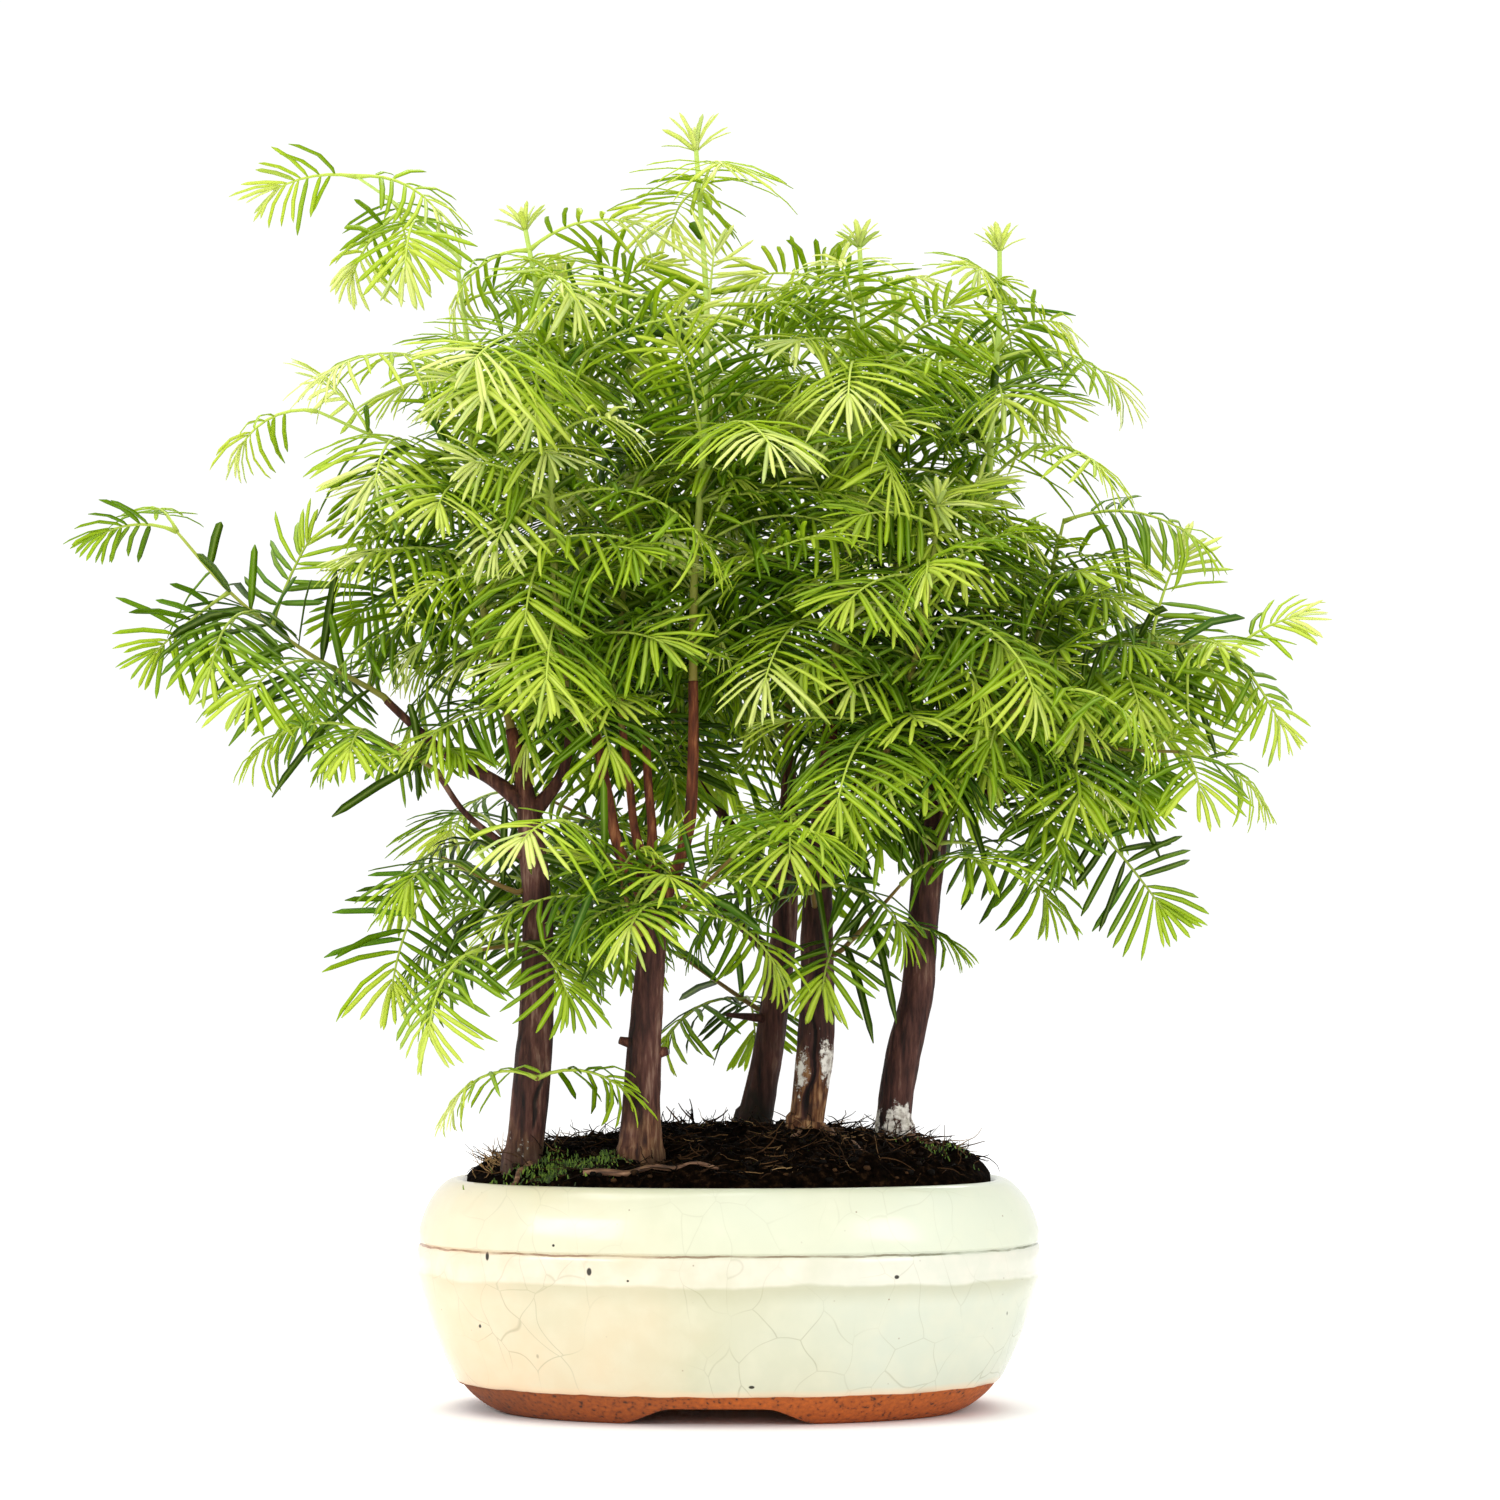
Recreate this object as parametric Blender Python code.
"""Dawn redwood forest bonsai: five young trees in an oval glazed pot.

Metres, +Z up. The base of the pot stands on z = 0 and the origin is under the middle of the
whole plant. Hand-chosen points are in millimetres from the middle of the pot, x to the
viewer's right, y away from the viewer, z up from the table.
"""

import math

import bpy
import numpy as np

MM = 0.001
GAP = 0.0003  # between pieces that touch
SEED = 11

# The pot
POT_MIDDLE = np.array([0.0071, -0.0062, 0.0])  # from the origin
POT_WIDTH = 0.2056
POT_DEPTH = 0.1460
POT_SIDES = 36
OVAL = 2.3  # exponent of the plan's oval: 2 is an ellipse
WALL = 0.007
RECESS_HALF_WIDTH = 0.0685  # of the hollow under the floor, inside the feet
RECESS_TOP = 0.0050
FLOOR_TOP = 0.0120
FOOT_ARCH = 0.0044  # height of the openings between the feet
FRONT_ARCH = 0.0675  # their whole widths, at the table
END_ARCH = 0.050
ARCH_FLAT = 0.72  # share of an arch's width that is level
ARCH_POINTS = 13
CUT_REACH = 0.12  # how far a cutter runs past the middle of the pot
DRAIN_RADIUS = 0.006
DRAIN_X = 0.038
SCREEN_RADIUS = 0.0105
SCREEN_THICK = 0.0010
SCREEN_HOLE = 0.0048
SCREEN_PITCH = 0.0065
ROUND_SIDES = 12  # of a drain hole and of a screen

# The soil
SOIL_RIM = 0.0745
SOIL_CROWN = 0.0165  # how far the mound stands above the rim
SOIL_HALF_WIDTH = 0.0866  # at the lip, where the mound starts
SOIL_FLOOR_HALF_WIDTH = 0.085
SOIL_FLOOR = FLOOR_TOP + SCREEN_THICK + 4 * GAP
MOUND_RINGS = (1.0, 0.88, 0.68, 0.44, 0.22)  # shares of the width, from the lip inwards
PLANTING_HEIGHT = 0.052  # of the trunks' lower ends

# The wood
TRUNK_SIDES = 8
TRUNK_STEP = 0.021
BOUGH_SIDES = 5
BOUGH_STEP = 0.016
ROOT_SIDES = 6

# The foliage
STEM_SIDES = 4
STEM_STEP = 0.028
STEM_RADIUS = 0.0017  # at most, where it leaves the end of its wood
SIDE_RADIUS = 0.0012  # where it leaves the side of its wood
TIP_RADIUS = 0.0008
LEADER_JOINTS = 0.041  # between the pairs of sprays up a leader
BRANCH_JOINTS = 0.031  # and out along a branch
NEEDLE_LENGTH = 0.027
NEEDLE_WIDTH = 0.0024
NEEDLE_THICK = 0.0007
NEEDLE_SAG = 0.40  # fall of a needle's tip, as a share of its length across the rib
RIB_WIDTH = 0.0011
RIB_END = 0.004  # bare stretch past a spray's last pair
PAIR_SPACING = 0.0137
FIRST_PAIR = 0.013  # bare stretch at a spray's base
LAST_NEEDLE = 0.6  # length of the one at a spray's tip, as a share of the rest
TUFT_NEEDLES = 4
TUFT_NOTCH = 0.0013  # radius of a tuft's star between its needles
TUFT_TIERS = ((0.016, 0.013, 0.35), (0.004, 0.011, 1.1))  # drop, reach, lift as a share of it

# Room that a growing spray keeps round its own lines, and how it looks for it
RIB_ROOM = 0.0008
ROOT_ROOM = 0.0012
TIP_ROOM = 0.0008
TUFT_ROOM = 0.0011
LOWEST_NEEDLE = 0.082
ATTEMPTS = 9
RIB_COST = 12  # a struck rib counts as this many struck needles

# Half-width in mm and height in mm of the pot's profile, from the foot up to the lip
OUTER_PROFILE = (
    (70.0, 0.0),
    (77.0, 0.0),
    (89.4, 10.4),
    (96.4, 25.0),
    (101.6, 40.0),
    (102.8, 48.5),
    (101.7, 53.9),
    (102.3, 55.3),
    (100.6, 63.0),
    (96.6, 70.2),
    (91.4, 74.8),
    (87.4, 74.4),
)
INNER_PROFILE = ((86.2, 70.5), (94.6, 56.0), (93.0, 36.0), (84.0, 12.0))

# Trunks: x, y, z and radius in mm from the foot up, then the boughs that leave them
TRUNKS = {
    "trunk_left": (
        ((-66, -28, 78.5, 6.3), (-65.5, -28, 86, 5.7), (-63.8, -28, 108, 6.2),
         (-62.4, -27, 125, 5.8), (-62, -26, 150, 5.0), (-62.5, -25.5, 173, 4.6),
         (-65, -25, 190, 4.1), (-67, -24.5, 205, 3.0), (-71, -22, 222, 1.8)),
        (
            ((-65.5, -25, 197, 2.3), (-78, -24.5, 206, 2.1), (-92.5, -22, 214, 1.7),
             (-112, -20, 231.5, 1.3)),
            ((-62.7, -26, 178, 1.4), (-76.6, -28, 187, 1.1), (-87, -30, 196, 1.0),
             (-93.5, -31.5, 206, 0.9)),
            ((-65, -25, 193, 2.2), (-58, -24.5, 202, 1.9), (-52, -24, 212, 1.7),
             (-51, -24, 224, 1.5)),
        ),
    ),
    "trunk_front": (
        ((-28.5, -35, 80.5, 7.4), (-28.3, -35, 89, 6.6), (-27, -34.5, 120, 5.5),
         (-24.7, -34, 152.8, 4.4), (-25, -33, 168, 4.0), (-25.5, -33, 176, 3.2)),
        (
            ((-26, -33, 166, 2.2), (-34.5, -32, 180, 1.9), (-38.6, -31, 197, 1.8),
             (-42.5, -29, 217, 1.7), (-46, -27, 230, 1.5)),
            ((-25.5, -33, 172, 1.9), (-29.3, -32, 181, 1.5), (-31, -30.5, 196, 1.4),
             (-34.5, -28, 222, 1.2)),
            ((-25, -33, 172, 1.9), (-24.3, -32, 183, 1.6), (-26, -29, 203, 1.5),
             (-27, -25, 221, 1.3)),
            ((-24.5, -33.5, 160, 2.4), (-14.5, -33.5, 181, 2.1), (-12.6, -33.5, 193, 2.0),
             (-11.3, -34, 212, 1.8), (-11.4, -34, 237, 1.6)),
            ((-27.5, -35, 119, 1.8), (-35, -37, 121, 1.2)),
            ((-26.5, -34.5, 116, 1.8), (-19.5, -36, 117.5, 1.3)),
        ),
    ),
    "trunk_back": (
        ((8.2, 35, 87, 6.6), (9.3, 35, 96, 5.8), (12.1, 35, 108, 5.3), (14.3, 35, 125, 5.0),
         (18.5, 35, 156, 4.3), (20, 35, 190, 3.4), (20.2, 35, 216, 1.9)),
        (
            ((18.6, 35, 160, 2.2), (8, 40, 182, 1.9), (-8, 46, 204, 1.6), (-17, 50, 222, 1.4)),
            ((17, 35, 146, 2.0), (2, 50, 160, 1.6), (-14, 62, 172, 1.2)),
            ((14.5, 34, 126.5, 1.3), (6, 29, 127.5, 0.9), (-1, 25, 128.2, 0.7)),
        ),
    ),
    "trunk_middle": (
        ((25.5, 5, 88, 6.7), (26, 5, 95, 5.7), (28.2, 5, 113.4, 6.2), (29.5, 5, 125.7, 5.9),
         (29.2, 5, 156, 5.4), (30.5, 4, 185, 4.1), (33, 0, 215, 2.8), (34.5, -4, 238, 1.8)),
        (
            ((29.8, 4.5, 168, 2.2), (38, -3, 186, 1.8), (47, -12, 202, 1.4)),
            ((29.5, 5.5, 160, 2.0), (36, 18, 180, 1.6), (40, 30, 196, 1.2)),
        ),
    ),
    "trunk_right": (
        ((55, 15, 85.5, 6.6), (54.6, 15, 92, 6.0), (56.8, 15, 108.4, 5.9),
         (60.9, 15, 125.5, 5.7), (64, 15, 142.6, 5.4), (65.4, 15, 166.7, 5.2),
         (69, 14.5, 190, 4.8), (72, 14, 202, 3.8), (77, 12.5, 215, 2.9), (83, 11, 230, 2.2),
         (84.5, 10, 241, 1.8)),
        (
            ((70.5, 14.5, 196, 2.8), (67, 18, 214, 2.2), (60, 24, 233, 1.6)),
            ((71, 14, 198, 2.0), (82, 10, 201, 1.6), (94, 6, 204, 1.3)),
            ((69.5, 15, 192, 2.0), (78, 26, 203, 1.7), (90, 38, 220, 1.3)),
            ((79.5, 11.8, 222, 1.9), (87.5, 7, 236, 1.7)),
        ),
    ),
}

# Leafy stems. wood is what carries the stem: a trunk and "top" or the number of the bough whose
# end it grows from; or a trunk, a height in mm and a bearing in degrees; or another leafy stem,
# a distance along it in mm, a bearing and a rise. path: further points in mm. lead: a leader is
# upright and ends in a tuft unless tuft is False; a branch ends in a spray. reach: length of its
# sprays in mm. bare: first stretch without sprays, in mm. turn: degrees round the stem of its
# first pair. sprays: those that grow out of the rule, each with its distance along the stem in
# mm (END for its tip), bearing, rise, length in mm, droop over its length and roll, in degrees.
END = 999
LEAFY_STEMS = {
    "leader_left": dict(
        wood=("trunk_left", "top"), lead=True, tuft=False, reach=62, bare=34, turn=20,
        path=((-76, -19, 240), (-80.5, -16, 262), (-83.5, -14, 285), (-84.9, -12, 312),
              (-85.6, -11, 337), (-87.5, -11, 360), (-89.9, -11, 376.5))),
    "leader_left_front": dict(
        wood=("trunk_left", 2), lead=True, reach=66, bare=32, turn=80,
        path=((-54, -29, 246), (-56, -35, 266), (-57, -40, 292), (-57.4, -43, 319),
              (-58.4, -44, 337), (-60.4, -44, 355), (-64, -43, 371), (-66.5, -42, 387))),
    "leader_left_back": dict(
        wood=("trunk_front", 0), lead=True, reach=66, bare=26, turn=35,
        path=((-47.5, -20, 250), (-48.5, -8, 275), (-49.3, 4, 306), (-50.7, 9, 333),
              (-52, 11, 351), (-54.5, 12, 365), (-57, 12, 379))),
    "leader_middle_low": dict(
        wood=("trunk_front", 1), lead=True, reach=54, bare=12, turn=60,
        path=((-36, -24, 240), (-35, -17, 262), (-33, -10, 285), (-31, -5, 306))),
    "leader_tall": dict(
        wood=("trunk_front", 3), lead=True, reach=68, bare=34, turn=10,
        path=((-11.3, -35, 266), (-9, -36, 299), (-7.6, -36, 330), (-7, -35, 353),
              (-7.6, -34, 368), (-9, -33, 389), (-10.3, -32, 405), (-10.9, -32, 415))),
    "leader_back": dict(
        wood=("trunk_back", "top"), lead=True, reach=66, bare=36, turn=50,
        path=((20, 37, 240), (19.5, 40, 270), (19.3, 43, 300), (19.4, 45, 330),
              (19.4, 46, 350), (19.4, 46, 374))),
    "leader_middle": dict(
        wood=("trunk_middle", "top"), lead=True, reach=68, bare=16, turn=75,
        path=((35.5, -8, 259), (38.5, -14, 279), (41, -18, 300), (41.8, -20, 317),
              (42.1, -21, 332), (43.5, -22, 350), (44.4, -22, 368), (42.8, -22, 385))),
    "leader_right_back": dict(
        wood=("trunk_right", 0), lead=True, reach=64, bare=20, turn=5,
        path=((58, 31, 255), (57, 36, 280), (56.5, 40, 305), (56.8, 42, 330),
              (57, 43, 353), (57.5, 43, 372))),
    "leader_right": dict(
        wood=("trunk_right", "top"), lead=True, reach=64, bare=24, turn=40,
        path=((86, 8, 265), (86.8, 6, 290), (87, 5, 315), (88.9, 4, 341), (90.2, 3, 357),
              (91.2, 2, 376), (90.5, 2, 388))),
    "leader_far_back": dict(
        wood=("trunk_back", 0), lead=True, reach=60, bare=32, turn=25,
        path=((-21, 54, 245), (-24, 57, 275), (-25, 59, 305), (-25, 59, 335), (-26, 58, 354))),
    "leader_right_front": dict(
        wood=("trunk_middle", 0), lead=True, reach=64, bare=20, turn=65,
        path=((55, -24, 225), (62, -34, 250), (66, -40, 275), (68, -42, 298))),
    "branch_far_left": dict(
        wood=("trunk_left", 0), lead=False, reach=44, bare=20, turn=0,
        sprays=((END, 181, 24, 25, 50, 30), (END, 150, 40, 22, 40, 0),
                (64, 182, -34, 32, 12, 55), (46, 25, 74, 32, 16, 40), (10, -96, 44, 40, 96, 0)),
        path=((-121, -19, 236), (-132, -18, 243), (-146, -18, 253), (-160, -18, 264),
              (-173, -18, 276), (-182, -18, 288))),
    "branch_left_hanging": dict(
        wood=("trunk_left", 1), lead=False, reach=44, bare=30, turn=0,
        path=((-100, -32, 215), (-108, -34, 221), (-116, -36, 220))),
    "branch_left_low": dict(
        wood=("trunk_left", 109, -80), lead=False, reach=38, bare=END, turn=0,
        sprays=((END, 188, 8, 34, 78, 25), (END, -8, 12, 31, 72, -25)),
        path=((-62.5, -41, 110.5), (-61, -47, 109))),
    "branch_left_front": dict(
        wood=("trunk_left", 152, -110), lead=False, reach=46, bare=8, turn=0,
        path=((-68, -40, 155), (-73, -50, 154), (-79, -58, 150))),
    "branch_left_comb": dict(
        wood=("trunk_left", 170, 190), lead=False, reach=50, bare=END, turn=0,
        sprays=((END, 180, -52, 46, 30, 80), (16, 140, 22, 38, 70, 0),
                (18, -135, 15, 38, 70, 0)),
        path=((-76, -27, 177), (-86, -28, 181), (-93, -28, 180))),
    "branch_left_back": dict(
        wood=("trunk_left", 160, 100), lead=False, reach=52, bare=12, turn=0,
        path=((-66, -6, 172), (-72, 10, 184), (-80, 26, 192))),
    "branch_front_low": dict(
        wood=("trunk_front", 158, -50), lead=False, reach=48, bare=9, turn=0,
        path=((-17, -45, 172), (-9, -53, 178), (2, -60, 180))),
    "branch_front_left": dict(
        wood=("trunk_front", 156, -130), lead=False, reach=46, bare=9, turn=0,
        path=((-33, -45, 170), (-39, -55, 180), (-44, -65, 186))),
    "branch_back_low": dict(
        wood=("trunk_back", 130, 150), lead=False, reach=42, bare=7, turn=0,
        path=((4, 42, 140), (-6, 48, 146), (-17, 52, 148))),
    "branch_back_left": dict(
        wood=("trunk_back", 1), lead=False, reach=49, bare=10, turn=0,
        path=((-30, 68, 184), (-48, 74, 196), (-64, 78, 203))),
    "branch_back_right": dict(
        wood=("trunk_middle", 1), lead=False, reach=48, bare=10, turn=0,
        path=((44, 44, 210), (47, 58, 221), (50, 70, 227))),
    "branch_middle_right": dict(
        wood=("trunk_middle", 150, -20), lead=False, reach=44, bare=8, turn=0,
        path=((40, 0, 160), (48, -8, 168), (57, -17, 172))),
    "branch_middle_front": dict(
        wood=("trunk_middle", 166, -100), lead=False, reach=46, bare=9, turn=0,
        path=((27, -12, 178), (24, -24, 188), (21, -36, 193))),
    "branch_right_low": dict(
        wood=("trunk_right", 1), lead=False, reach=46, bare=10, turn=0,
        sprays=((END, 2, -46, 42, 8, 75),),
        path=((106, 4, 207), (113, 3, 202), (118, 2, 196))),
    "branch_right_back": dict(
        wood=("trunk_right", 2), lead=False, reach=54, bare=10, turn=0,
        path=((104, 52, 238), (118, 62, 250), (130, 70, 256))),
    "branch_right_long": dict(
        wood=("trunk_right", 210, -20), lead=False, reach=42, bare=36, turn=20,
        sprays=((END, -4, 44, 24, 30, 40), (END, 4, -52, 30, 10, 50), (86, 40, 76, 34, 20, 40),
                (88, -40, -76, 34, 8, 60)),
        path=((87, 5, 224), (100, 2, 241), (116.4, 0, 249.5), (135.7, -1, 252),
              (154.6, -2, 251), (168, -4, 249))),
    "branch_right_rising": dict(
        wood=("branch_right_long", 45, 20, 80), lead=False, reach=50, bare=22, turn=60,
        sprays=((END, -2, 24, 48, 64, 25),),
        path=((104, 4, 260), (107.5, 5, 274), (109, 5, 285), (112, 5, 294))),
    "branch_right_hanging": dict(
        wood=("branch_right_long", 30, -10, -50), lead=False, reach=40, bare=22, turn=0,
        sprays=((END, -2, -6, 30, 46, 20), (END, -60, -10, 30, 60, 0)),
        path=((108, -4, 222), (122, -8, 217), (138, -10, 216), (150, -11, 215))),
    "branch_upper_left": dict(
        wood=("leader_left", "top"), lead=False, reach=44, bare=END, turn=0,
        sprays=((END, 180, 10, 28, 40, 35), (20, -95, 5, 36, 84, 0), (27, 205, -34, 30, 40, 60),
                (34, 80, 10, 34, 70, 0), (48, -12, 12, 32, 64, 30)),
        path=((-96, -12, 384), (-105, -13, 392.5), (-114, -14, 401), (-124, -15, 406))),
    "branch_left_upper": dict(
        wood=("leader_left", 92, 190, 15), lead=False, reach=44, bare=20, turn=15,
        sprays=((END, 183, 10, 30, 74, 25), (34, 150, 60, 26, 30, 30)),
        path=((-97, -15, 309), (-110, -18, 316), (-124, -20, 323), (-136, -21, 327))),
    "branch_right_front": dict(
        wood=("trunk_right", 180, -80), lead=False, reach=50, bare=10, turn=0,
        path=((72, -1, 196), (79, -16, 214), (88, -30, 226), (98, -40, 231))),
}

BARK = "#6B4A3A"
FINISHES = {
    "pot": ("#EFF0D2", 0.16),
    "soil": ("#2A1D14", 0.95),
    "screen": ("#1C1F1D", 0.6),
    "root": ("#7A5A40", 0.85),
    "trunk": (BARK, 0.8),
    "leader": ("#78B82E", 0.5),
    "branch": ("#5C9A26", 0.5),
}


def clear_scene():
    for obj in list(bpy.data.objects):
        bpy.data.objects.remove(obj, do_unlink=True)


def unit(vectors):
    return vectors / np.linalg.norm(vectors, axis=-1, keepdims=True)


def linear(channel):
    return channel / 12.92 if channel <= 0.04045 else ((channel + 0.055) / 1.055) ** 2.4


def finish(name):
    """The material of a kind of piece, made once."""
    if name in bpy.data.materials:
        return bpy.data.materials[name]
    colour, roughness = FINISHES[name]
    channels = [linear(int(colour[i:i + 2], 16) / 255) for i in (1, 3, 5)]
    material = bpy.data.materials.new(name)
    material.use_nodes = True
    shader = material.node_tree.nodes["Principled BSDF"]
    shader.inputs["Base Color"].default_value = (*channels, 1)
    shader.inputs["Roughness"].default_value = roughness
    shader.inputs["Metallic"].default_value = 0.0
    return material


def new_object(name, points, faces, look=None):
    mesh = bpy.data.meshes.new(name)
    mesh.from_pydata([tuple(p) for p in points], [], [tuple(f) for f in faces])
    obj = bpy.data.objects.new(name, mesh)
    bpy.context.scene.collection.objects.link(obj)
    if look:
        mesh.materials.append(finish(look))
    return obj


def keep_evaluated(obj):
    """Applies an object's modifiers."""
    graph = bpy.context.evaluated_depsgraph_get()
    mesh = bpy.data.meshes.new_from_object(obj.evaluated_get(graph))
    obj.modifiers.clear()
    obj.data = mesh


def join_all(obj, others):
    """One Boolean union of the object with a collection of the pieces that grow from it."""
    if not others:
        return
    group = bpy.data.collections.new(obj.name + "_parts")
    bpy.context.scene.collection.children.link(group)
    for other in others:
        bpy.context.scene.collection.objects.unlink(other)
        group.objects.link(other)
    union = obj.modifiers.new("join", "BOOLEAN")
    union.operation = "UNION"
    union.operand_type = "COLLECTION"
    union.collection = group
    keep_evaluated(obj)
    for other in others:
        bpy.data.objects.remove(other, do_unlink=True)
    bpy.data.collections.remove(group)


def cut(obj, cutter, name):
    cutter.hide_render = True
    cutter.display_type = "WIRE"
    difference = obj.modifiers.new(name, "BOOLEAN")
    difference.operation = "DIFFERENCE"
    difference.object = cutter


def skin(rings, close_start=None, close_end=None):
    """A closed surface over rings of equal count; each end is a pole, or a flat cap."""
    count = len(rings[0])
    points = [p for ring in rings for p in ring]
    faces = []
    for r in range(len(rings) - 1):
        for i in range(count):
            j = (i + 1) % count
            faces.append((r * count + i, r * count + j, (r + 1) * count + j, (r + 1) * count + i))
    first = list(range(count))
    last = [(len(rings) - 1) * count + i for i in range(count)]
    if close_start is None:
        faces.append(first[::-1])
    else:
        points.append(close_start)
        faces += [(len(points) - 1, first[(i + 1) % count], first[i]) for i in range(count)]
    if close_end is None:
        faces.append(last)
    else:
        points.append(close_end)
        faces += [(len(points) - 1, last[i], last[(i + 1) % count]) for i in range(count)]
    return points, faces


def tube(name, path, radii, sides, look=None):
    """A tube of flat sides along a path, capped at both ends."""
    tangents = unit(np.gradient(path, axis=0))
    reference = np.eye(3)[np.argmin(np.abs(tangents.mean(axis=0)))]
    across = unit(np.cross(tangents, reference))
    beside = np.cross(tangents, across)
    angles = 2 * math.pi * (np.arange(sides) + 0.5) / sides
    rings = (
        path[:, None]
        + np.cos(angles)[None, :, None] * (across * radii[:, None])[:, None]
        + np.sin(angles)[None, :, None] * (beside * radii[:, None])[:, None]
    )
    points, faces = skin(list(rings))
    return new_object(name, points, faces, look)


def prism(name, outline, run):
    """An outline of points carried along a run, right side out."""
    outline = np.asarray(outline, float)
    points, faces = skin([outline, outline + run])
    obj = new_object(name, points, faces)
    face_outwards(obj)
    return obj


def face_outwards(obj):
    """Turns a closed mesh right side out."""
    mesh = obj.data
    volume = 0.0
    for polygon in mesh.polygons:
        corners = [mesh.vertices[i].co for i in polygon.vertices]
        for a, b in zip(corners[1:], corners[2:]):
            volume += corners[0].dot(a.cross(b))
    if volume < 0:
        mesh.flip_normals()


def curve_through(points, step):
    """Points about a step apart on a smooth curve through hand-chosen ones, all columns."""
    points = np.asarray(points, float)
    ends = np.vstack([2 * points[0] - points[1], points, 2 * points[-1] - points[-2]])
    t = np.linspace(0, 1, 8, endpoint=False)[:, None]
    pieces = []
    for p0, p1, p2, p3 in zip(ends, ends[1:], ends[2:], ends[3:]):
        pieces.append(0.5 * (2 * p1 + (p2 - p0) * t + (2 * p0 - 5 * p1 + 4 * p2 - p3) * t**2
                             + (3 * p1 - p0 - 3 * p2 + p3) * t**3))
    fine = np.vstack([*pieces, points[-1:]])
    along = np.r_[0, np.cumsum(np.linalg.norm(np.diff(fine[:, :3], axis=0), axis=1))]
    stops = np.linspace(0, along[-1], max(2, round(along[-1] / step) + 1))
    return np.column_stack([np.interp(stops, along, column) for column in fine.T])


def oval_ring(half_width, height, inset=0.0):
    """One ring of the pot: an oval that keeps the pot's proportions, less an even inset."""
    angles = 2 * math.pi * np.arange(POT_SIDES) / POT_SIDES
    cosine, sine = np.cos(angles), np.sin(angles)
    half_depth = (half_width + inset) * POT_DEPTH / POT_WIDTH - inset
    x = half_width * np.sign(cosine) * np.abs(cosine) ** (2 / OVAL)
    y = half_depth * np.sign(sine) * np.abs(sine) ** (2 / OVAL)
    return np.column_stack([x, y, np.full(POT_SIDES, height)]) + POT_MIDDLE


def foot_arch(name, width, axis):
    """The cutter of the two openings between the feet that face each other."""
    share = np.linspace(-1, 1, ARCH_POINTS)
    fall = np.clip((np.abs(share) - ARCH_FLAT) / (1 - ARCH_FLAT), 0, 1) ** 1.5
    outline = np.zeros((ARCH_POINTS + 2, 3))
    outline[:ARCH_POINTS, axis] = share * width / 2
    outline[:ARCH_POINTS, 2] = FOOT_ARCH * (1 - fall)
    outline[ARCH_POINTS:] = outline[[ARCH_POINTS - 1, 0]] - (0, 0, 0.002)
    run = np.zeros(3)
    run[1 - axis] = 2 * CUT_REACH
    return prism(name, outline + POT_MIDDLE - run / 2, run)


def make_pot():
    """The fired pot: a hollow oval bowl on a foot ring that arches part into four feet."""
    rings = [oval_ring(RECESS_HALF_WIDTH, RECESS_TOP)]
    rings += [oval_ring(w * MM, z * MM) for w, z in OUTER_PROFILE]
    rings += [oval_ring(w * MM, z * MM, WALL) for w, z in INNER_PROFILE]
    points, faces = skin(
        rings,
        close_start=POT_MIDDLE + (0, 0, RECESS_TOP),
        close_end=POT_MIDDLE + (0, 0, FLOOR_TOP),
    )
    pot = new_object("pot", points, faces, "pot")
    cut(pot, foot_arch("front_arch", FRONT_ARCH, 0), "front_arch")
    cut(pot, foot_arch("end_arch", END_ARCH, 1), "end_arch")
    for side, label in ((-1, "left"), (1, "right")):
        middle = POT_MIDDLE + (side * DRAIN_X, 0, 0)
        path = np.array([middle, middle + (0, 0, FLOOR_TOP + WALL)])
        hole = tube(f"drain_{label}", path, np.full(2, DRAIN_RADIUS), ROUND_SIDES)
        cut(pot, hole, f"drain_{label}")
    return pot


def soil_height(x, y):
    """Height of the mound at x, y from the middle of the pot, in metres.

    A dome over the lip's oval, higher at the back and to the right, with two sets of low lumps.
    """
    half_depth = SOIL_HALF_WIDTH * POT_DEPTH / POT_WIDTH - 0.003
    span = (np.abs(x / SOIL_HALF_WIDTH) ** OVAL + np.abs(y / half_depth) ** OVAL) ** (1 / OVAL)
    dome = np.clip(1 - span**2, 0, 1) ** 0.55
    lean = 0.78 + 0.22 * np.clip((y + 0.03) / 0.05, -1, 1) + 0.10 * np.clip(x / 0.06, -1, 1)
    lumps = 0.0012 * np.sin(x * 150 + 1.3) * np.cos(y * 170 + 0.4)
    lumps = lumps + 0.0009 * np.sin(x * 310 + 0.5) * np.cos(y * 260 + x * 90)
    return SOIL_RIM + SOIL_CROWN * dome * lean + lumps * np.clip(dome * 2, 0, 1)


def make_soil():
    """The soil fills the pot, stands above it as a mound and has a hole for each trunk."""
    rings = [oval_ring(SOIL_FLOOR_HALF_WIDTH - GAP, SOIL_FLOOR, WALL + GAP)]
    for width, height in reversed(INNER_PROFILE[:-1]):
        rings.append(oval_ring(width * MM - GAP, height * MM, WALL + GAP))
    for share in MOUND_RINGS:
        ring = oval_ring(SOIL_HALF_WIDTH - GAP, 0, WALL + GAP) - POT_MIDDLE
        ring = ring * (share, share, 1)
        ring[:, 2] = soil_height(ring[:, 0], ring[:, 1])
        rings.append(ring + POT_MIDDLE)
    points, faces = skin(
        rings,
        close_start=POT_MIDDLE + (0, 0, SOIL_FLOOR),
        close_end=POT_MIDDLE + (0, 0, soil_height(0.0, 0.0)),
    )
    soil = new_object("soil", points, faces, "soil")
    for name, (spine, _) in TRUNKS.items():
        x, y, z, radius = np.array(spine[0]) * MM
        path = POT_MIDDLE + np.array([(x, y, PLANTING_HEIGHT - 2 * GAP), (x, y, z + 0.03)])
        hole = tube(name + "_hole", path, np.full(2, radius + 1.6 * GAP), TRUNK_SIDES)
        cut(soil, hole, name + "_hole")
    return soil


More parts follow.
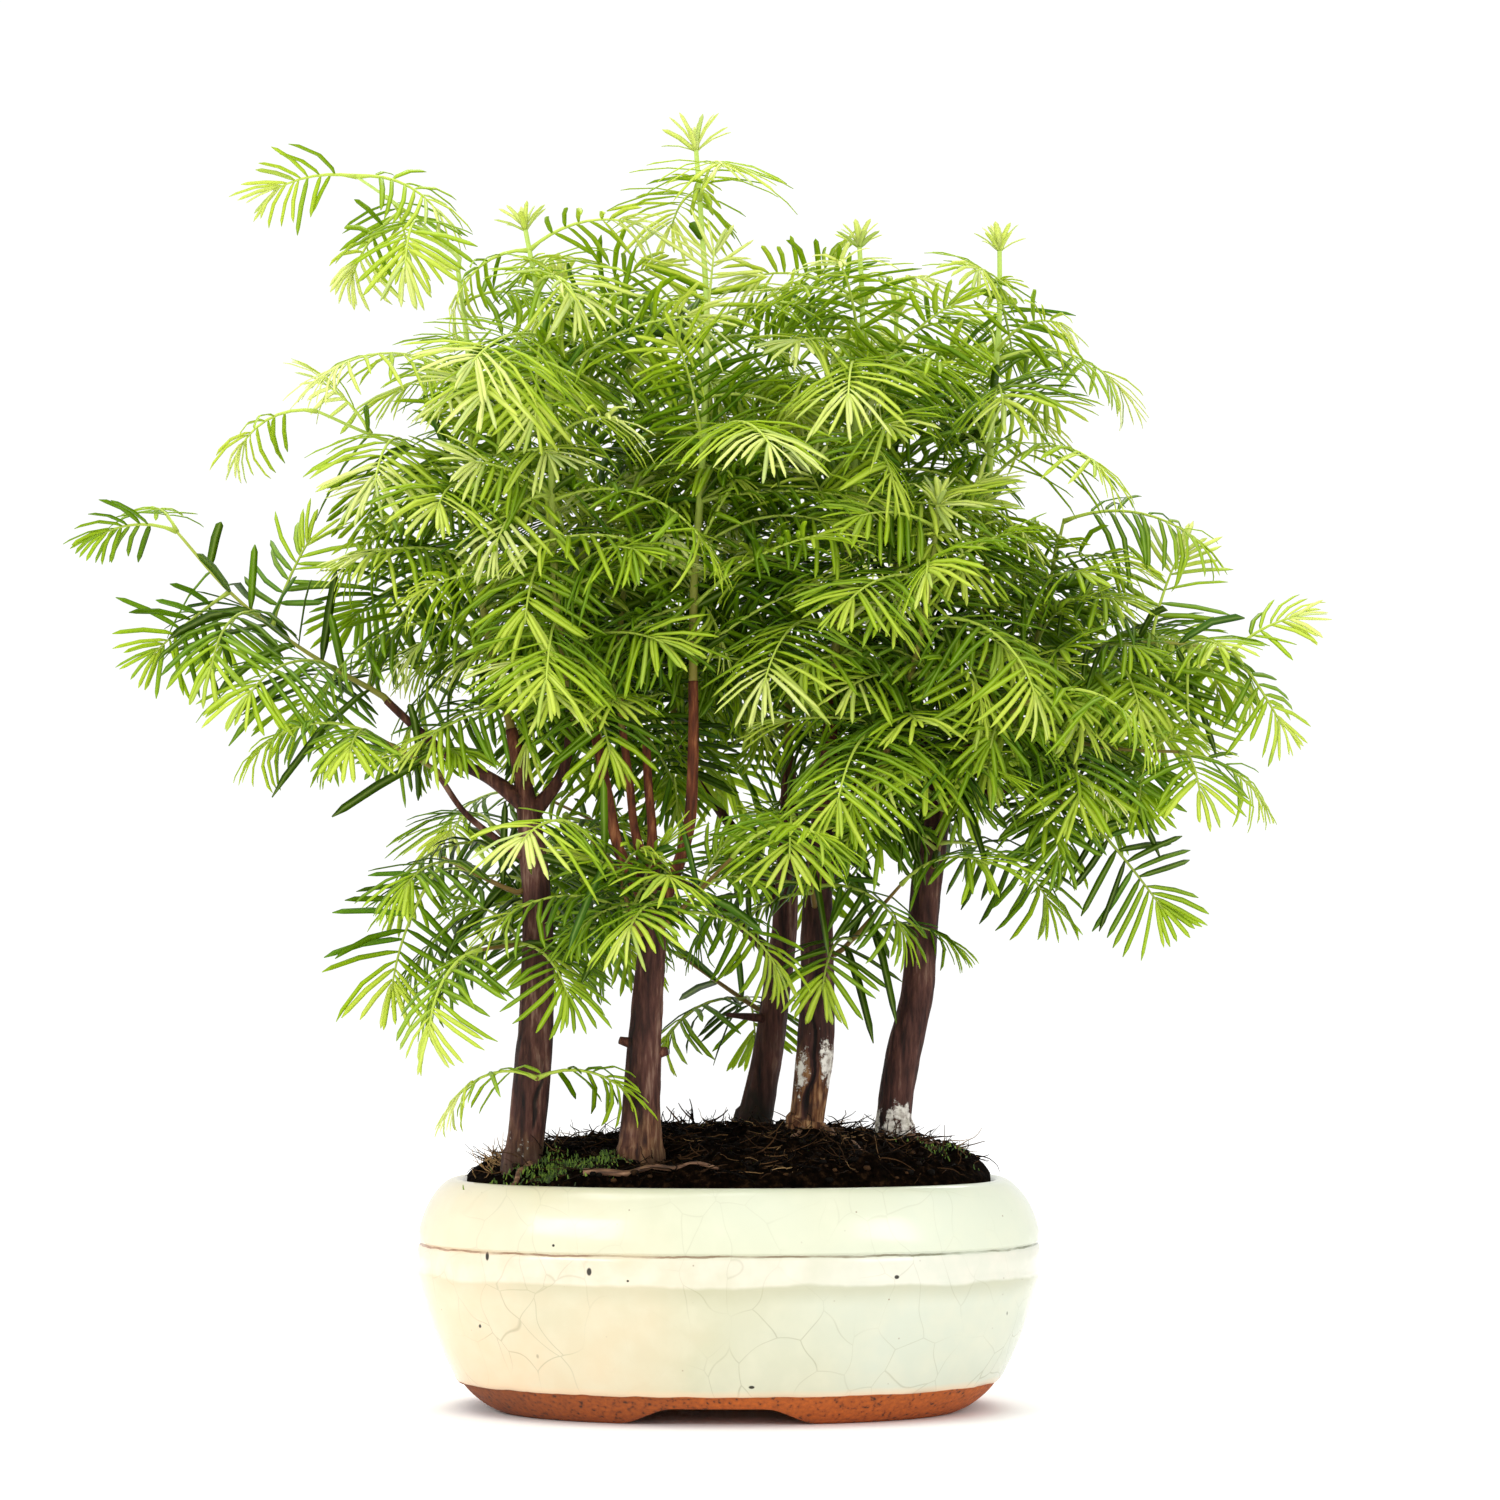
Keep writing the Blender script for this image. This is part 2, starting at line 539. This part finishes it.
def make_screens():
    """A square-holed plastic mesh over each drain hole."""
    half = SCREEN_HOLE / 2
    square = np.array([(-half, -half, 0), (half, -half, 0), (half, half, 0), (-half, half, 0)])
    for side, label in ((-1, "left"), (1, "right")):
        middle = POT_MIDDLE + (side * DRAIN_X, 0, FLOOR_TOP + GAP)
        path = np.array([middle, middle + (0, 0, SCREEN_THICK)])
        radii = np.full(2, SCREEN_RADIUS)
        screen = tube(f"drain_screen_{label}", path, radii, ROUND_SIDES, "screen")
        for i in range(4):
            column, row = divmod(i, 2)
            offset = np.array((column - 0.5, row - 0.5, 0)) * SCREEN_PITCH
            start = middle + offset - (0, 0, SCREEN_THICK)
            hole = prism(f"mesh_hole_{label}_{i}", start + square, (0, 0, 3 * SCREEN_THICK))
            cut(screen, hole, f"hole_{i}")


def trunk_spine(name):
    """Path and radii of a trunk from its buried end to its top, in metres."""
    spine = np.array(TRUNKS[name][0], float) * MM
    foot = spine[0].copy()
    above = foot.copy()
    above[2] = foot[2] + 0.003
    foot[2] = PLANTING_HEIGHT
    upper = curve_through(spine[1:], TRUNK_STEP)
    rows = np.vstack([foot, above, upper])
    return rows[:, :3] + POT_MIDDLE, rows[:, 3]


def make_trunk(name):
    """A trunk and the boughs that grow from it, joined in one body."""
    path, radii = trunk_spine(name)
    trunk = tube(name, path, radii, TRUNK_SIDES, "trunk")
    boughs = []
    for i, bough in enumerate(TRUNKS[name][1]):
        rows = curve_through(np.array(bough) * MM, BOUGH_STEP)
        line = rows[:, :3] + POT_MIDDLE
        boughs.append(tube(f"{name}_bough_{i}", line, rows[:, 3], BOUGH_SIDES))
    join_all(trunk, boughs)
    return trunk


def make_surface_root():
    """A bare root that lies on the soil in front of the two front trunks."""
    flat = curve_through(((-46, -48.5, 0), (-36, -49.5, 0), (-24, -50.5, 0), (-11, -50.5, 0),
                          (-3, -50, 0)), 7)[:, :2] * MM
    radii = np.interp(np.linspace(0, 1, len(flat)), (0, 0.3, 1), (1.5, 1.3, 0.7)) * MM
    height = soil_height(flat[:, 0], flat[:, 1]) + radii + 2.2 * GAP
    path = np.column_stack([flat, height]) + POT_MIDDLE
    return tube("surface_root", path, radii, ROOT_SIDES, "root")


class Spray:
    """A spray: a slim rib that arches over and droops, with flat needles on either side."""

    def __init__(self, base, bearing, rise, length, droop, roll):
        self.bearing, self.rise, self.length = bearing, rise, length
        self.droop, self.roll = droop, roll
        self.steps = np.linspace(0, 1.8, 73)
        tangent = self.frame(self.steps)[0]
        run = np.cumsum((tangent[1:] + tangent[:-1]) / 2, axis=0) * length * self.steps[1]
        self.centre = np.vstack([np.zeros(3), run]) + base

    def frame(self, share):
        """Tangent, side and normal at shares of the rib's length."""
        share = np.asarray(share, float)
        angle = self.rise - self.droop * share
        cosine, sine = math.cos(self.bearing), math.sin(self.bearing)
        level = np.cos(angle)
        tangent = np.stack([level * cosine, level * sine, np.sin(angle)], axis=-1)
        side = np.broadcast_to([-sine, cosine, 0.0], tangent.shape)
        normal = np.cross(tangent, side)
        tilt_side = side * math.cos(self.roll) + normal * math.sin(self.roll)
        return tangent, tilt_side, np.cross(tangent, tilt_side)

    def place(self, share, across):
        """Points and normals on the arched sheet, at shares of the rib and metres across."""
        share, across = np.asarray(share, float), np.asarray(across, float)
        _, side, normal = self.frame(share)
        centre = np.column_stack([np.interp(share, self.steps, c) for c in self.centre.T])
        sag = NEEDLE_SAG * across**2 / NEEDLE_LENGTH
        points = centre + side * across[:, None] - normal * sag[:, None]
        return points, normal

    def needles(self, spacing, first):
        """Share along the rib, angle from it and length of each pair of needles.

        They close towards the tip, and are longest a little before the middle.
        """
        run = self.length - first - RIB_END
        count = max(2, int(run / spacing) + 1)
        share = (first + run * np.arange(count) / (count - 1)) / self.length
        angle = np.radians(72 - 34 * share**1.5)
        swell = np.sin(np.pi * np.clip(0.22 + 0.62 * share, 0, 1)) ** 0.7
        return share, angle, NEEDLE_LENGTH * swell

    def tip_share(self):
        """Where the needle at the tip ends, as a share of the rib."""
        return 1.0 + LAST_NEEDLE * NEEDLE_LENGTH / self.length

    def segments(self):
        """Start, end and room of each line of the spray, and the needle that it belongs to.

        The base counts as -2 and the rest of the rib as -1.
        """
        stops = np.r_[0.02, np.linspace(0.14, 1.0, 7), self.tip_share()]
        rib, _ = self.place(stops, np.zeros(len(stops)))
        share, angle, length = self.needles(PAIR_SPACING, FIRST_PAIR)
        ends = share + length * np.cos(angle) / self.length
        starts, _ = self.place(share, np.zeros(len(share)))
        tips = [self.place(ends, hand * length * np.sin(angle))[0] for hand in (1, -1)]
        roots, tips = np.vstack([starts, starts]), np.vstack(tips)
        middles = (roots + tips) / 2
        needles = np.arange(len(roots))
        begin = np.vstack([rib[:-1], roots, middles])
        end = np.vstack([rib[1:], middles, tips])
        room = np.r_[np.full(8, RIB_ROOM), np.full(len(roots), ROOT_ROOM),
                     np.full(len(roots), TIP_ROOM)]
        owner = np.r_[-2, np.full(7, -1), needles, needles]
        return begin, end, room, owner


def spray_sheet(name, spray, missing):
    """The comb-cut sheet of a spray, thickened, with its needles running out to points."""
    share, angle, length = spray.needles(PAIR_SPACING, FIRST_PAIR)
    half = NEEDLE_WIDTH / 2 / spray.length
    edge = RIB_WIDTH / 2
    ends = share + length * np.cos(angle) / spray.length
    places = [(0.0, edge), (0.0, -edge)]
    faces, sharp = [], []
    left, right = 0, 1
    pairs = len(share)
    for k in range(pairs):
        rung = [(share[k] - half, edge), (share[k] - half, -edge),
                (share[k] + half, edge), (share[k] + half, -edge)]
        a = len(places)
        places += rung
        faces += [(left, right, a + 1), (left, a + 1, a), (a, a + 1, a + 3), (a, a + 3, a + 2)]
        for hand, root in ((1, 0), (-1, 1)):
            if (k if hand == 1 else k + pairs) in missing:
                continue
            tip = len(places)
            sharp.append(tip)
            places.append((ends[k], hand * (edge + length[k] * math.sin(angle[k]))))
            face = (a + root, a + root + 2, tip)
            faces.append(face if hand == 1 else face[::-1])
        left, right = a + 2, a + 3
    sharp.append(len(places))
    faces.append((left, right, len(places)))
    places.append((spray.tip_share(), 0.0))
    places = np.array(places)
    points, normals = spray.place(places[:, 0], places[:, 1])
    return thickened(name, points, normals, faces, sharp)


def thickened(name, points, normals, faces, sharp):
    """A sheet of triangles given its thickness: the sharp points stay shared by both sides."""
    half = np.full(len(points), NEEDLE_THICK / 2)
    half[sharp] = 0.0
    above = points + normals * half[:, None]
    below = points - normals * half[:, None]
    under = np.arange(len(points)) + len(points)
    under[sharp] = sharp
    edges = {(face[i], face[(i + 1) % 3]) for face in faces for i in range(3)}
    solid = [tuple(face) for face in faces]
    solid += [tuple(under[i] for i in face[::-1]) for face in faces]
    for a, b in sorted(edges):
        if (b, a) in edges:
            continue
        if under[a] != a:
            solid.append((b, a, under[a]))
        if under[b] != b:
            solid.append((b, under[a], under[b]))
    used = sorted({i for face in solid for i in face})
    number = {old: new for new, old in enumerate(used)}
    both = np.vstack([above, below])
    obj = new_object(name, both[used], [tuple(number[i] for i in face) for face in solid])
    face_outwards(obj)
    return obj


def tuft_stars(path, turn):
    """Middle and outline of two stars round a leader's tip, the upper one steeper."""
    heading = unit(path[-1] - path[-2])
    across = unit(np.cross(heading, (0.0, 1.0, 0.0)))
    beside = np.cross(heading, across)
    stars = []
    for tier, (drop, reach, lift) in enumerate(TUFT_TIERS):
        centre = path[-1] - heading * drop
        k = np.arange(2 * TUFT_NEEDLES)
        angle = np.pi * k / TUFT_NEEDLES + turn + tier * 0.6
        radius = np.where(k % 2, TUFT_NOTCH, reach)
        height = np.where(k % 2, 0.0, reach * lift)
        ray = across * np.cos(angle)[:, None] + beside * np.sin(angle)[:, None]
        stars.append((centre, centre + heading * height[:, None] + ray * radius[:, None]))
    return stars


def tuft_sheets(name, path, turn):
    """The stars of a tuft, given their thickness."""
    sheets = []
    for tier, (centre, spots) in enumerate(tuft_stars(path, turn)):
        hub = len(spots)
        points = np.vstack([spots, centre[None]])
        faces = [(hub, k, (k + 1) % hub) for k in range(hub)]
        upward = np.broadcast_to(unit(path[-1] - path[-2]), points.shape)
        star = thickened(f"{name}_{tier}", points, upward, faces, list(range(0, hub, 2)))
        sheets.append(star)
    return sheets


def seat_on(wood):
    """Where a leafy stem leaves its wood: the seat, the way it heads and its radius there.

    The seat is the end of a bough, the top of a trunk or stem, or the side of a trunk at a
    height, or of a stem at a distance along it, facing a bearing and a rise in degrees.
    """
    carrier, where = wood[0], wood[1]
    if carrier in LEAFY_STEMS:
        path, radii = stem_path(LEAFY_STEMS[carrier])
        measure = travelled(path)
    else:
        path, radii = trunk_spine(carrier)
        measure = path[:, 2]
        if where != "top" and len(wood) == 2:
            rows = curve_through(np.array(TRUNKS[carrier][1][where]) * MM, BOUGH_STEP)
            path, radii = rows[:, :3] + POT_MIDDLE, rows[:, 3]
    if len(wood) == 2:
        heading = unit(path[-1] - path[-2])
        return path[-1] + heading * GAP, heading, radii[-1]
    axis = np.array([np.interp(where * MM, measure, column) for column in path.T])
    radius = np.interp(where * MM, measure, radii)
    bearing = math.radians(wood[2])
    rise = math.radians(wood[3]) if len(wood) > 3 else 0.0
    heading = np.array([math.cos(bearing) * math.cos(rise), math.sin(bearing) * math.cos(rise),
                        math.sin(rise)])
    # Square to the wood, so that the stem's flat end lies along its bark.
    run = np.array([np.interp(where * MM + 0.004, measure, column) for column in path.T]) - axis
    heading = unit(heading - heading.dot(unit(run)) * unit(run))
    return axis + heading * (radius + 1.5 * GAP), heading, SIDE_RADIUS


def stem_path(stem):
    """Path and radii of a leafy stem, which starts square to its seat."""
    seat, heading, radius = seat_on(stem["wood"])
    onward = seat + heading * 0.003
    rest = np.array(stem["path"], float) * MM + POT_MIDDLE
    path = np.vstack([seat, curve_through(np.vstack([onward, rest]), STEM_STEP)])
    return path, np.linspace(min(radius, STEM_RADIUS), TIP_RADIUS, len(path))


def travelled(path):
    """Distance along a path at each of its points."""
    return np.r_[0, np.cumsum(np.linalg.norm(np.diff(path, axis=0), axis=1))]


def along(path, distance):
    """The point and tangent at a distance along a path, and the path's whole length."""
    stops = travelled(path)
    point = np.array([np.interp(distance, stops, column) for column in path.T])
    i = min(np.searchsorted(stops, distance, side="right") - 1, len(path) - 2)
    return point, unit(path[i + 1] - path[i]), stops[-1]


def planned_sprays(stem, path, rng):
    """Point, bearing, rise, length, droop and roll of each spray of a stem.

    Those of its own list come first, then opposite pairs by rule, each pair of a leader a
    quarter turn from the last, and one at the end of a branch that lists none there.
    """
    total = along(path, 0)[2]
    upright = stem["lead"]
    reach = stem["reach"] * MM
    plans = []
    for distance, bearing, rise, length, droop, roll in stem.get("sprays", ()):
        point, tangent, _ = along(path, min(distance * MM, total))
        turns = np.radians((bearing, rise, droop, roll))
        plans.append((point - tangent * 0.001, *turns[:2], length * MM, *turns[2:]))
    spacing = LEADER_JOINTS if upright else BRANCH_JOINTS
    count = max(0, int((total - stem["bare"] * MM - 0.010) / spacing) + 1)
    ways = []
    for k, distance in enumerate(stem["bare"] * MM + spacing * np.arange(count)):
        point, tangent, _ = along(path, distance)
        left = total - distance
        across = unit(np.cross(tangent, (0.0, 1.0, 0.0) if upright else (0.0, 0.0, 1.0)))
        beside = np.cross(tangent, across)
        turn = math.radians(stem["turn"] + (90 * (k % 2) if upright else 0) + rng.uniform(-12, 12))
        out = across * math.cos(turn) + beside * math.sin(turn)
        grown = min(1.0, 0.42 + left / 0.085) if upright else min(1.0, 0.62 + left / 0.12)
        for hand in (1, -1):
            lean = math.radians(rng.uniform(54, 68))
            way = tangent * math.cos(lean) + out * hand * math.sin(lean)
            ways.append((point, way, reach * grown * rng.uniform(0.88, 1.08)))
    if not upright and not any(spray[0] == END for spray in stem.get("sprays", ())):
        point, tangent, _ = along(path, total)
        ways.append((point - tangent * 0.001, tangent, reach * 0.9))
    for point, way, length in ways:
        rise = math.asin(np.clip(way[2], -1, 1))
        droop = math.radians(rng.uniform(62, 92)) * (0.5 + 0.5 * math.cos(rise))
        roll = rng.uniform(-0.35, 0.35)
        plans.append((point, math.atan2(way[1], way[0]), rise, length, droop, roll))
    return plans


def swung(plan, rng, attempt):
    """A spray grown from a plan, swung further from it at each new attempt."""
    point, bearing, rise, length, droop, roll = plan
    swing = math.radians(2 + 5 * attempt)
    bearing = bearing + rng.uniform(-swing, swing)
    rise = rise + rng.uniform(-swing, swing) * 0.7
    return Spray(point, bearing, rise, length, droop, roll)


def segment_gaps(begin_a, end_a, begin_b, end_b):
    """Shortest distances between every segment of one set and every one of another."""
    along_a = (end_a - begin_a)[:, None]
    along_b = (end_b - begin_b)[None]
    apart = begin_a[:, None] - begin_b[None]
    aa = (along_a**2).sum(-1)
    bb = (along_b**2).sum(-1)
    ab = (along_a * along_b).sum(-1)
    ar = (along_a * apart).sum(-1)
    br = (along_b * apart).sum(-1)
    spread = np.maximum(aa * bb - ab**2, 1e-18)
    s = np.clip((ab * br - bb * ar) / spread, 0, 1)
    t = np.clip((ab * s + br) / bb, 0, 1)
    s = np.clip((ab * t - ar) / aa, 0, 1)
    return np.linalg.norm(apart + along_a * s[..., None] - along_b * t[..., None], axis=-1)


class Clearings:
    """Keeps each placed line, so that later sprays are bent clear of it."""

    def __init__(self):
        self.begin, self.end = np.empty((0, 3)), np.empty((0, 3))
        self.room, self.piece = np.empty(0), np.empty(0, int)

    def add(self, begin, end, room, piece):
        self.begin, self.end = np.vstack([self.begin, begin]), np.vstack([self.end, end])
        self.room = np.r_[self.room, room]
        self.piece = np.r_[self.piece, np.full(len(begin), piece)]

    def struck(self, begin, end, room, skip):
        """Which of the new lines pass too near a kept one of another piece."""
        rows = ~np.isin(self.piece, skip)
        gaps = segment_gaps(begin, end, self.begin[rows], self.end[rows])
        return (gaps < room[:, None] + self.room[rows][None] + GAP).any(axis=1)


def add_wood(clear):
    """Each trunk is a piece with a number below zero."""
    for number, name in enumerate(TRUNKS):
        path, radii = trunk_spine(name)
        clear.add(path[:-1], path[1:], np.maximum(radii[:-1], radii[1:]), -1 - number)
        for bough in TRUNKS[name][1]:
            rows = curve_through(np.array(bough) * MM, BOUGH_STEP)
            line = rows[:, :3] + POT_MIDDLE
            clear.add(line[:-1], line[1:], rows[:-1, 3], -1 - number)


def add_stem(clear, stem, path, radii, piece):
    """A stem's own line and the needles of its tuft."""
    clear.add(path[:-1], path[1:], radii[:-1] + 0.0002, piece)
    if stem.get("tuft", stem["lead"]):
        for centre, spots in tuft_stars(path, stem["turn"]):
            tips = spots[::2]
            centres = np.broadcast_to(centre, tips.shape)
            clear.add(centres, tips, np.full(len(tips), TUFT_ROOM), piece)


def best_swing(plan, rng, clear, skip):
    """The spray of a plan that strikes least, with which of its lines are struck."""
    best = None
    for attempt in range(ATTEMPTS):
        spray = swung(plan, rng, attempt)
        begin, end, room, owner = spray.segments()
        low = np.minimum(begin, end)[:, 2] < LOWEST_NEEDLE
        struck = clear.struck(begin, end, room, skip) | low
        cost = struck.sum() + RIB_COST * struck[owner < 0].any()
        if best is None or cost < best[0]:
            best = (cost, spray, struck)
        if cost == 0:
            break
    return best[1:]


def grow_sprays():
    """Places every spray: the woods and stems first, then each spray bent clear of the rest.

    The stems take turns, a spray each. A spray whose rib is still struck is left out, and a
    struck needle is missing. Stem number n has three piece numbers: 3n for its own line,
    3n + 1 for its sprays and 3n + 2 for their bases, which lie close to it.
    """
    rng = np.random.default_rng(SEED)
    clear = Clearings()
    add_wood(clear)
    stems = {}
    for number, (name, stem) in enumerate(LEAFY_STEMS.items()):
        stems[name] = stem_path(stem)
        add_stem(clear, stem, *stems[name], 3 * number)
    grown = {name: [] for name in LEAFY_STEMS}
    waiting = {name: planned_sprays(stem, stems[name][0], rng)
               for name, stem in LEAFY_STEMS.items()}
    while any(waiting.values()):
        for number, name in enumerate(LEAFY_STEMS):
            if not waiting[name]:
                continue
            plan = waiting[name].pop(0)
            spray, struck = best_swing(plan, rng, clear, (3 * number, 3 * number + 2))
            begin, end, room, owner = spray.segments()
            if struck[owner < 0].any():
                continue
            missing = set(owner[struck])
            base = owner == -2
            kept = ~base & ~np.isin(owner, list(missing))
            clear.add(begin[base], end[base], room[base], 3 * number + 2)
            clear.add(begin[kept], end[kept], room[kept], 3 * number + 1)
            grown[name].append((spray, missing))
    return stems, grown


def make_leafy_stem(name, path, radii, sprays):
    """A stem with its sprays, and a leader's tuft, joined in one body."""
    lead = LEAFY_STEMS[name]["lead"]
    stem = tube(name, path, radii, STEM_SIDES, "leader" if lead else "branch")
    pieces = [spray_sheet(f"{name}_spray_{i}", spray, missing)
              for i, (spray, missing) in enumerate(sprays)]
    if LEAFY_STEMS[name].get("tuft", lead):
        pieces += tuft_sheets(name + "_tuft", path, LEAFY_STEMS[name]["turn"])
    join_all(stem, pieces)
    return stem


def main():
    clear_scene()
    make_pot()
    make_soil()
    make_screens()
    for name in TRUNKS:
        make_trunk(name)
    make_surface_root()
    stems, grown = grow_sprays()
    for name in LEAFY_STEMS:
        make_leafy_stem(name, *stems[name], grown[name])


main()
